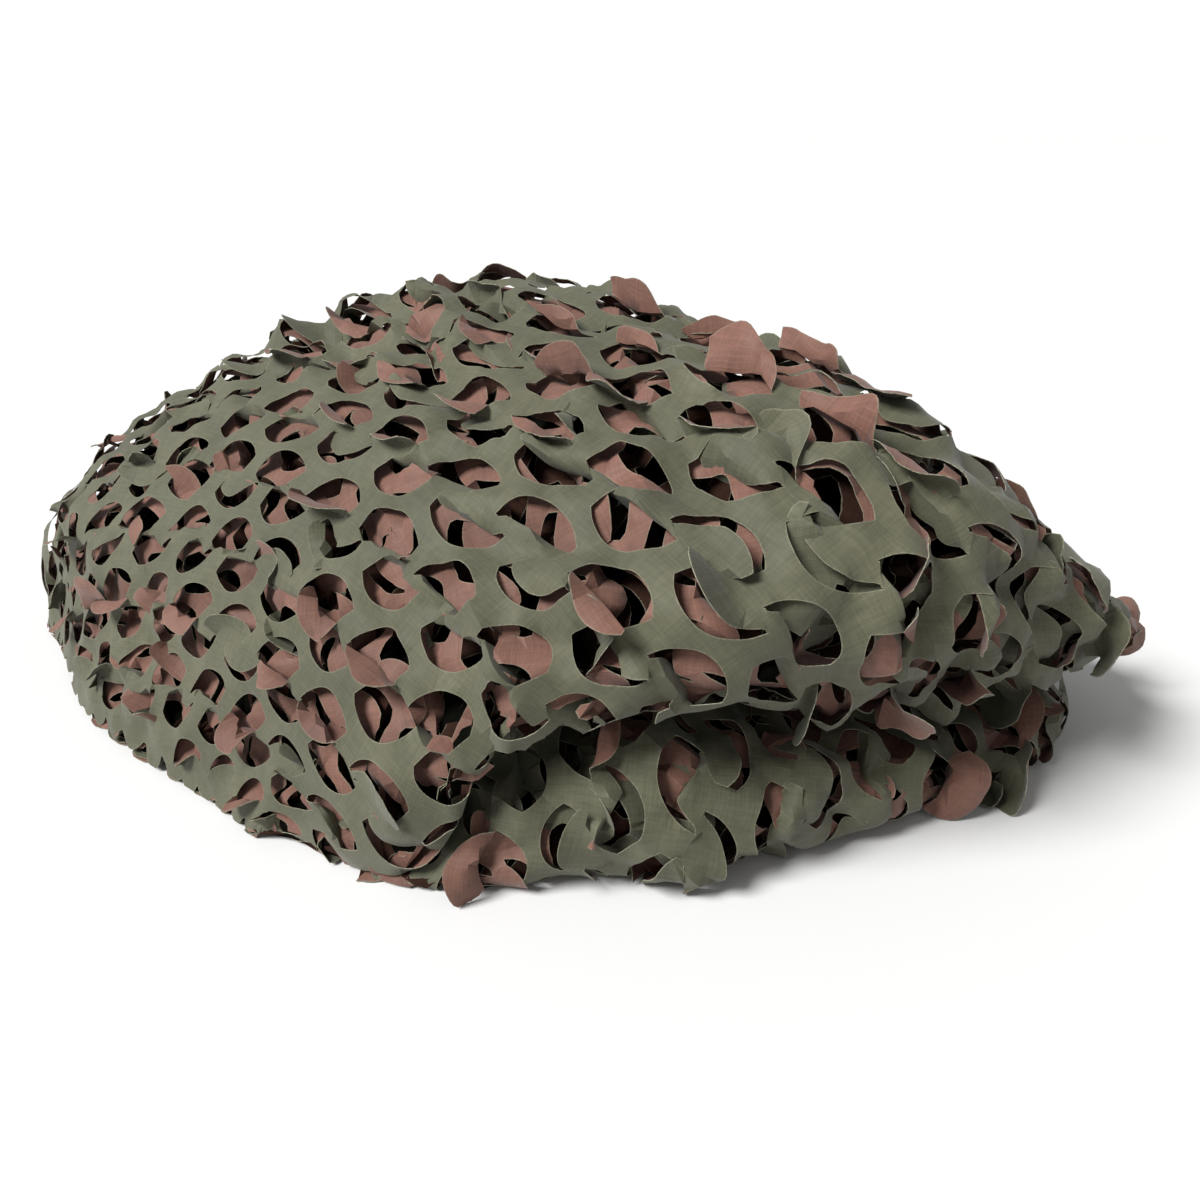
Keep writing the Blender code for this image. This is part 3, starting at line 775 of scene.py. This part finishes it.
def turnLeaf(s, rng, a, b, pose, foldStart):
    # new places along and off the hinge, and heights, of a leaf's points at a along and b off it
    rules = leafRules
    bend, curl, twist, crease, skew = pose
    # fold line: its distance from the hinge, turned by the skew, with the hinge on its still side
    start = leafCut["halfHinge"] * math.tan(abs(skew)) * rules["skewClear"] + foldStart
    c, sn = math.cos(skew), math.sin(skew)
    past = (b - start) * c - a * sn
    beside = a * c + (b - start) * sn
    line = np.linspace(0, rules["size"], 33)
    turn = bend * np.clip(line / crease, 0, 1) + curl * np.clip(line - crease, 0, 1) / rules["curlOver"]
    step = np.diff(line, prepend=0.0)
    beyond = np.maximum(past, 0.0)
    f = np.where(past > 0, np.interp(beyond, line, np.cumsum(np.cos(turn) * step)), past)
    w = np.interp(beyond, line, np.cumsum(np.sin(turn) * step))
    way = rng.uniform(0, math.pi)                    # one sharp crease across the leaf
    over = a * math.cos(way) + (b - rules["creaseMiddle"]) * math.sin(way)
    over = over - rng.uniform(-rules["creaseShift"], rules["creaseShift"])
    w = w + rng.normal(0, s["leafCrease"]) * np.maximum(over, 0) * np.clip(b / rules["creaseRamp"], 0, 1)
    tilt = twist * beside / rules["curlOver"]
    w = w + np.sin(tilt) * beyond * math.cos(bend)
    f = f - np.sin(tilt) * beyond * math.sin(bend)
    if bend > rules["foldedOver"]:
        w = w + s["standOff"] * np.clip(beyond / rules["foldedRamp"], 0, 1)
    return beside * c - f * sn, start + beside * sn + f * c, w


def bendLeaves(skin, cloth, s):
    # moves each leaf's points about its hinge: returns the new flat places and the height off the cloth
    flat = cloth["flat"].copy()
    height = np.zeros(len(flat))
    rng = np.random.default_rng(s["seed"] + 5)
    middles, ways = cloth["middles"], cloth["tipWay"]
    if not len(middles):
        return flat, height
    base, _, room = skin.place(middles)
    rise = (skin.place(middles + ways * leafRules["feel"])[0] - base)[:, 2] / leafRules["feel"]
    order = np.argsort(cloth["leaf"], kind="stable")
    starts, stops = (np.searchsorted(cloth["leaf"][order], np.arange(len(middles)), side=side)
                     for side in ("left", "right"))
    posed = {}                                       # leaves set one by one, found by their place
    for x, y, z, *pose in s["posed"]:
        posed[int(np.argmin(np.linalg.norm(base * 1000 - (x, y, z), axis=1)))] = pose
    standing = False
    for k in range(len(middles)):
        bends = s["calm"] if base[k, 0] > s["calmFrom"] else s["bends"]
        bends = s["open"] if base[k, 0] < s["openTo"] else bends
        pose, standing = chooseBend(s, rng, bends, standing, rise[k], room[k], base[k, 2])
        if k in posed:
            bend, skew, curl = posed[k]
            pose = [math.radians(bend), curl, pose[2] * leafRules["posedTwist"], pose[3], math.radians(skew)]
        mine = order[starts[k]:stops[k]]
        if len(mine) == 0:
            continue
        foldStart = 0.001 if k in posed else rng.uniform(0.0, s["foldStart"])
        a, b = cloth["along"][mine], cloth["off"][mine]
        along, off, height[mine] = turnLeaf(s, rng, a, b, pose, foldStart)
        acrossWay = np.array([-ways[k][1], ways[k][0]])
        flat[mine] += ways[k] * (off - b)[:, None] + acrossWay * (along - a)[:, None]
    return flat, height


clothColours = {
    "green": "#4B4B3B", "greenLight": "#535341", "greenDark": "#414133",
    "brown": "#67493E", "brownLight": "#725146", "brownDark": "#563C33",
    "edge": "#85826F",
    "gloss": 0.22,
    "ripstop": 2.7,          # mm between the thicker threads
    "threadLift": 0.13,      # how much lighter they are
    # scales per metre: the threads of 0.2 mm are too fine to show, so the weave is drawn at 2.4 mm
    "streaks": 420.0,
    "streakRatio": 9,        # a streak's length against its width
    "streakDepth": 0.12,
    "grain": 420.0,
    "fading": 9.0,           # patches of 110 mm where the coating has aged
    "fray": 650.0,           # thread ends of 1.5 mm along the cuts
    "frayWidth": 0.0014,     # metres
    "frayShare": 0.36,
    "edgeFray": 500.0,
    "roughness": 0.62,
    "edgeRoughness": 0.8,
    "polymerIor": 1.5,
}


def clothMaterial(name, dark, middle, light, gloss):
    # polyurethane coated ripstop polyester: matt, with a faint grid of thicker threads and a streaky weave
    s = clothColours
    material, tree, surface = newMaterial(name)
    flat = addNode(tree, "UVMap", {}, uv_map="flat")
    black, white = (0, 0, 0, 1), (1, 1, 1, 1)
    threads = addNode(tree, "TexBrick", {
        "Vector": flat, "Scale": 1000 / s["ripstop"], "Mortar Size": 0.10, "Mortar Smooth": 0.8, "Bias": 0.0,
        "Brick Width": 1.0, "Row Height": 1.0, "Color1": black, "Color2": black, "Mortar": white,
    }, offset=0.0, squash=1.0).outputs["Fac"]
    fading = addNode(tree, "TexNoise", {"Vector": flat, "Scale": s["fading"], "Detail": 4.0, "Roughness": 0.6})
    ramp = addNode(tree, "ValToRGB", {"Fac": fading})
    ramp.color_ramp.elements.new(0.5)
    for stop, place, shade in zip(ramp.color_ramp.elements, (0.30, 0.5, 0.72), (dark, middle, light)):
        stop.position, stop.color = place, linearColour(shade)
    # streaks along the warp and the weft
    wide, fine = s["streaks"] / s["streakRatio"], s["streaks"]
    shades = []
    for scale in ((wide, fine, 1), (fine, wide, 1)):
        stretch = addNode(tree, "Mapping", {"Vector": flat, "Scale": scale})
        streak = addNode(tree, "TexNoise", {"Vector": stretch, "Scale": 1.0, "Detail": 2.0, "Roughness": 0.7})
        shades.append(addNode(tree, "MapRange", {
            "Value": streak, "From Min": 0.3, "From Max": 0.7,
            "To Min": 1 - s["streakDepth"], "To Max": 1 + s["streakDepth"]}))
    both = addNode(tree, "Math", {0: shades[0], 1: shades[1]}, operation="MULTIPLY")
    grid = addNode(tree, "Math", {0: threads, 1: s["threadLift"], 2: both}, operation="MULTIPLY_ADD")
    woven = addNode(tree, "VectorMath", {0: ramp, "Scale": grid}, operation="SCALE")
    # frayed pale line along each cut
    sides = addNode(tree, "Attribute", {}, attribute_name="cutDistance").outputs["Vector"]
    x, y, z = addNode(tree, "SeparateXYZ", {"Vector": sides}).outputs
    nearer = addNode(tree, "Math", {0: x, 1: y}, operation="MINIMUM")
    nearest = addNode(tree, "Math", {0: nearer, 1: z}, operation="MINIMUM")
    fray = addNode(tree, "TexNoise", {"Vector": flat, "Scale": s["fray"], "Detail": 1.0})
    ragged = addNode(tree, "Math", {0: fray, 1: -s["frayWidth"], 2: nearest}, operation="MULTIPLY_ADD")
    pale = addNode(tree, "MapRange", {
        "Value": ragged, "From Min": -0.0005, "From Max": 0.0, "To Min": s["frayShare"], "To Max": 0.0})
    colour = addNode(tree, "Mix", {0: pale, 6: woven, 7: linearColour(s["edge"])}, data_type="RGBA")
    grain = addNode(tree, "TexNoise", {"Vector": flat, "Scale": s["grain"], "Detail": 2.0})
    low = addNode(tree, "Math", {0: grain, 1: 0.35}, operation="MULTIPLY")
    relief = addNode(tree, "Math", {0: threads, 1: low}, operation="ADD")
    bump = addNode(tree, "Bump", {"Height": relief, "Strength": 0.4, "Distance": 0.0003})
    setInputs(tree, surface, {
        "Base Color": colour.outputs[2], "Normal": bump, "Roughness": s["roughness"], "IOR": s["polymerIor"],
        "Specular IOR Level": gloss, "Sheen Weight": gloss / 2, "Sheen Roughness": 0.5})
    return material


def edgeMaterial():
    # bare thread ends along a cut: a thin pale line, without a shine
    s = clothColours
    material, tree, surface = newMaterial("cutThreads")
    flat = addNode(tree, "UVMap", {}, uv_map="flat")
    fray = addNode(tree, "TexNoise", {"Vector": flat, "Scale": s["edgeFray"]})
    ramp = addNode(tree, "ValToRGB", {"Fac": fray})
    for stop, place, shade in zip(ramp.color_ramp.elements, (0.35, 0.6), (s["greenLight"], s["edge"])):
        stop.position, stop.color = place, linearColour(shade)
    setInputs(tree, surface, {"Base Color": ramp, "Roughness": s["edgeRoughness"], "IOR": s["polymerIor"]})
    return material


# where the cloth is rumpled more or less, metres
rumpling = {
    "calmSize": 0.16,
    "leastCalm": 0.08,
    "crest": (0.27, 0.33),   # height over which the crest's rumple sets in
    "crestTop": 0.31,
    "leftEnd": (-0.08, -0.22),
    "fullRoom": 0.07,        # thin places are the least rumpled
    "leastRoom": 0.2,
    "lift": 0.03,            # height over which the cloth comes off the ground
    "turnedSize": 0.10,      # patches that lie the other way up
    "turnedAlong": (-0.25, 0.30),
}


def rumple(cloth, spot, room, s):
    # height of the folds; the plies share them, so that the inner ones stay inside
    u, v = cloth["flat"].T
    seed = s["foldSeed"]
    crestLow, crestHigh = rumpling["crest"]
    leftStart, leftFull = rumpling["leftEnd"]
    field = s["lump"] * softNoise(u, v, s["lumpSize"], seed + 11)
    field += s["ripple"] * softNoise(u, v, s["rippleSize"], seed + 12)
    calm = 0.5 + 0.5 * softNoise(u, v, rumpling["calmSize"], seed + 13)
    crest = np.clip((spot[:, 2] - crestLow) / (crestHigh - crestLow), 0, 1)
    leftEnd = np.clip((leftStart - spot[:, 0]) / (leftStart - leftFull), 0, 1) * (1 - crest)
    calm = np.maximum(calm + s["rumple"] * crest - s["smoothEnd"] * leftEnd, rumpling["leastCalm"])
    field += s["folds"] * calm * foldNoise(u, v, s["foldSize"], seed + 14)
    field += s["creases"] * calm * foldNoise(u, v, s["creaseSize"], seed + 16)
    field += s["own"] * foldNoise(u, v, s["ownSize"], s["seed"] + 18)
    field = field * np.clip(room / rumpling["fullRoom"], rumpling["leastRoom"], 1.0)
    return np.where(spot[:, 2] > rumpling["crestTop"], np.minimum(field, s["crestLimit"]), field)


def makeSheet(name, skin, s, materials):
    cloth = cutCloth(skin, s)
    flat, height = bendLeaves(skin, cloth, s)
    spot, normal, room = skin.place(flat)
    depth = np.minimum(s["depth"], s["roomShare"] * room)
    pattern, triangles = cloth["pattern"], cloth["triangles"]
    field = rumple(cloth, spot, room, s)
    loose = np.clip(spot[:, 2] / rumpling["lift"], 0.0, 1.0)
    points = spot + normal * (height + (field - depth) * loose + (1 - loose) * s["rest"])[:, None]
    slide = foldNoise(pattern[:, 0], pattern[:, 1], s["foldSize"], s["seed"] + 15)
    points += np.stack([slide, -slide, np.zeros(len(slide))], axis=1) * (s["slide"] * loose)[:, None]
    points[:, 2] = np.maximum(points[:, 2], s["rest"])
    piece = newPiece(name, points, triangles)
    mesh = piece.data
    mesh.uv_layers.new(name="flat").data.foreach_set("uv", pattern[cornersOf(mesh)].ravel())
    mesh.attributes.new("cutDistance", "FLOAT_VECTOR", "CORNER").data.foreach_set(
        "vector", cutDistance(pattern, triangles).ravel())
    # where the cloth lies the other way up
    leaf = cloth["leaf"][triangles].max(axis=1)
    where = np.where((leaf >= 0)[:, None], cloth["origin"][leaf] if len(cloth["origin"]) else 0.0,
                     pattern[triangles].mean(axis=1))
    turned = softNoise(where[:, 0], where[:, 1], rumpling["turnedSize"], s["seed"] + 17)
    turned += np.interp(spot[triangles].mean(axis=1)[:, 0], rumpling["turnedAlong"], s["turned"])
    mesh.polygons.foreach_set("material_index", (turned > 0).astype(np.int32))
    mesh.update()
    for material in (materials[0], materials[1], materials[0], materials[2]):
        mesh.materials.append(material)
    wall = piece.modifiers.new("thickness", "SOLIDIFY")
    wall.thickness = s["thickness"]
    wall.offset = -1.0
    wall.material_offset = 1                         # the back has the other colour
    wall.material_offset_rim = 3
    bpy.ops.object.modifier_apply(modifier=wall.name)
    bpy.ops.object.shade_smooth_by_angle(angle=math.radians(s["smooth"]))
    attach(piece, "root")
    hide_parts("net")
    size = cloth["size"]
    print(name, "flat", size.round(3), "leaves", len(cloth["middles"]),
          "faces", len(piece.data.polygons), "time", round(time.time() - startTime, 1), flush=True)


addCamera()
addStudio()
print("camera and light set", round(time.time() - startTime, 1))
s = clothColours
green = clothMaterial("coatedRipstopGreen", s["greenDark"], s["green"], s["greenLight"], s["gloss"])
brown = clothMaterial("coatedRipstopBrown", s["brownDark"], s["brown"], s["brownLight"], s["gloss"])
edge = edgeMaterial()
# the same cloth inside the bundle, darkened as painted shade: folds too fine to model keep the light off there
paintedShadeGreen = clothMaterial("shadedRipstopGreen", "#13130F", "#1A1A15", "#21211B", 0.0)
paintedShadeBrown = clothMaterial("shadedRipstopBrown", "#201511", "#2B1D18", "#34241E", 0.0)
# near-black: painted shade for the deepest folds
paintedShadeBlack = clothMaterial("paintedShadeInnerFolds", "#080806", "#0A0A08", "#0D0D0A", 0.0)

# share of the leaves, least and most bend in degrees: in the middle, at the calm right end, below, at the left
outerBends = {
    "lying": (9, -16, 8), "sunk": (18, -70, -28), "hanging": (24, -125, -75),
    "lifted": (13, 15, 60), "folded": (36, 110, 158),
}
calmBends = {
    "lying": (56, -14, 6), "sunk": (22, -55, -20), "hanging": (13, -110, -65),
    "lifted": (2, 10, 25), "folded": (7, 140, 160),
}
lowerBends = {
    "lying": (12, -14, 8), "sunk": (22, -70, -30), "hanging": (40, -125, -75),
    "lifted": (6, 12, 40), "folded": (20, 125, 160),
}
openBends = {
    "lying": (3, -16, 8), "sunk": (12, -75, -45), "hanging": (38, -135, -85),
    "lifted": (4, 15, 50), "folded": (38, 125, 160),
}
outerSheet = {
    "cut": True, "turn": 0.0, "inset": 0, "spacing": 0.0068, "arcSteps": 26, "thickness": 0.0005,
    "smooth": 40.0, "seed": 3, "foldSeed": 3, "depth": 0.0, "roomShare": 0.35, "rest": 0.0006, "slide": 0.0,
    "lump": 0.007, "lumpSize": 0.11, "ripple": 0.003, "rippleSize": 0.035, "folds": 0.027, "foldSize": 0.065,
    "creases": 0.009, "creaseSize": 0.024, "own": 0.0, "ownSize": 0.04,
    "rumple": 0.45, "smoothEnd": 0.36, "crestLimit": 0.014,
    "bends": outerBends, "calm": calmBends, "calmFrom": 0.16, "open": openBends, "openTo": 0.04,
    "skew": 11.0, "foldStart": 0.009, "curl": 0.6, "twist": 0.4, "leafCrease": 0.4, "standOff": 0.004,
    "groundClear": 0.012, "thin": 0.045, "turned": (-2.0, -2.0), "posed": (),
}
# single leaves of the outer cloth: x, y, z of the hinge in mm, bend and skew in degrees, curl
posedLeaves = (
    (2, -170, 322, 150, 8, 0.2),    # folded over, on the front of the crown
    (-15, -131, 327, 108, -6, 0.3),
    (78, -35, 357, 84, 4, 0.5),    # standing along the crest
    (115, -113, 349, 92, -8, 0.4),
    (153, -188, 334, 98, 12, 0.6),
    (61, 4, 359, 68, -14, 0.5),
    (134, -151, 342, 52, 10, 0.4),
    (174, -224, 323, 150, 0, 0.2),
    (-143, 136, 328, 150, 12, 0.3),
    (-79, 149, 346, 16, 0, 0.2),
    (-407, 222, 166, -60, 0, -0.2),
    (-426, 246, 147, -30, 0, -0.2),
    (8, 122, 356, 24, 0, 0.2),
    (-8, 156, 349, 8, 0, 0.1),
    (-27, 193, 336, 22, 0, 0.2),
    (-424, 327, 134, 4, 0, 0.1),
    (-406, 305, 164, 4, 0, 0.1),
    (313, -302, 210, -6, 0, 0.1),
    (-169, -279, 134, -105, 0, -0.2),
    (-87, -332, 152, -70, 0, -0.2),
    (-267, 221, 271, 40, 0, 0.3),
    (-30, -248, 283, -62, 5, -0.3),    # hanging in, over brown
    (254, -339, 232, -72, 0, -0.3),
    (144, -311, 291, 140, -10, 0.4),
    (236, -319, 264, 4, 0, 0.1),    # lying, at the right end
    (334, -320, 182, 6, 0, 0.1),
    (349, -327, 146, 118, 8, 1.1),
    (466, -237, 95, 150, 0, 0.2),
    (403, -289, 127, -70, 0, -0.2),
    (421, -287, 99, 152, 0, 0.2),
    (378, -278, 150, -60, 0, -0.2),
    (-391, 85, 101, 150, 0, 0.2),
    (-125, -298, 189, -100, 6, -0.3),    # above the mouth
    (-32, -361, 185, -80, 10, -0.4),
)
posedLower = (
    (308, -302, 53, 140, 5, 0.4),
    (296, -316, 20, 150, 0, 0.2),
    (223, -329, 26, 146, 0, 0.3),
    (-133, -298, 35, 150, 0, 0.3),
)
# parts of the section that each cloth goes round, and how far it reaches along the first and the last
upperSkin = Skin("upperForm", (("roof", 0.5), ("chin", 0), ("brow", 0), ("spine", 0), ("under", 0.05)),
                 stations[0, 0], stations[-1, 0])
lowerSkin = Skin("lowerForm", (("ground", 0.5), ("lowerFront", 0), ("mouthFloor", 0.5), ("mouthBack", 0)),
                 -0.19, 0.447)
print("forms unfolded", round(time.time() - startTime, 1))

makeSheet("net_upper", upperSkin, {**outerSheet, "posed": posedLeaves}, (green, brown, edge))
makeSheet("net_lower", lowerSkin,
          {**outerSheet, "seed": 23, "foldSeed": 23, "turn": 50.0, "bends": lowerBends, "calmFrom": 9.0,
           "openTo": -9.0, "posed": posedLower},
          (green, brown, edge))
# the plies below show through the holes
underBends = {
    "lying": (18, -15, 8), "sunk": (28, -80, -20), "hanging": (24, -120, -80),
    "lifted": (24, 8, 34), "folded": (6, 150, 168),
}
closedBends = {
    "lying": (36, -15, 8), "sunk": (30, -60, -20), "hanging": (12, -110, -80),
    "lifted": (18, 8, 30), "folded": (4, 150, 168),
}
innerBends = {"lying": (30, -15, 5), "sunk": (40, -60, -20), "hanging": (30, -100, -70)}
secondSheet = {
    **outerSheet, "seed": 41, "inset": 1, "spacing": 0.008, "arcSteps": 18, "smooth": 30.0, "depth": 0.010,
    "rest": 0.0022, "own": 0.012, "slide": 0.010, "bends": underBends, "calm": underBends, "open": underBends,
    "turn": 35.0, "turned": (-0.9, -0.1),
}
makeSheet("net_second_upper", upperSkin, secondSheet, (brown, green, edge))
makeSheet("net_second_lower", lowerSkin,
          {**secondSheet, "seed": 47, "foldSeed": 23, "bends": closedBends, "calm": closedBends,
           "open": closedBends, "turned": (-0.3, -0.1)},
          (brown, green, edge))
thirdSheet = {
    **secondSheet, "seed": 61, "inset": 3, "spacing": 0.012, "arcSteps": 12, "depth": 0.030, "rest": 0.0038,
    "own": 0.016, "turn": 70.0, "bends": innerBends, "calm": innerBends, "open": innerBends,
}
# the third plies wear the darkened cloth: painted shade for the depth inside the bundle
makeSheet("net_third_upper", upperSkin, thirdSheet, (paintedShadeBrown, paintedShadeGreen, edge))
makeSheet("net_third_lower", lowerSkin, {**thirdSheet, "seed": 67, "foldSeed": 23, "inset": 4, "depth": 0.022},
          (paintedShadeBrown, paintedShadeGreen, edge))
# an uncut near-black sheet deep inside, painted shade that stands for the folds further in
coreSheet = {**thirdSheet, "seed": 71, "inset": 6, "spacing": 0.020, "depth": 0.050, "own": 0.0, "cut": False}
makeSheet("net_core", upperSkin, coreSheet, (paintedShadeBlack, paintedShadeBlack, paintedShadeBlack))

size = {"cad": [list(corner) for corner in cadBox], "visual": [list(corner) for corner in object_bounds()]}
print("box", [[round(c, 3) for c in corner] for corner in size["visual"]], round(time.time() - startTime, 1))
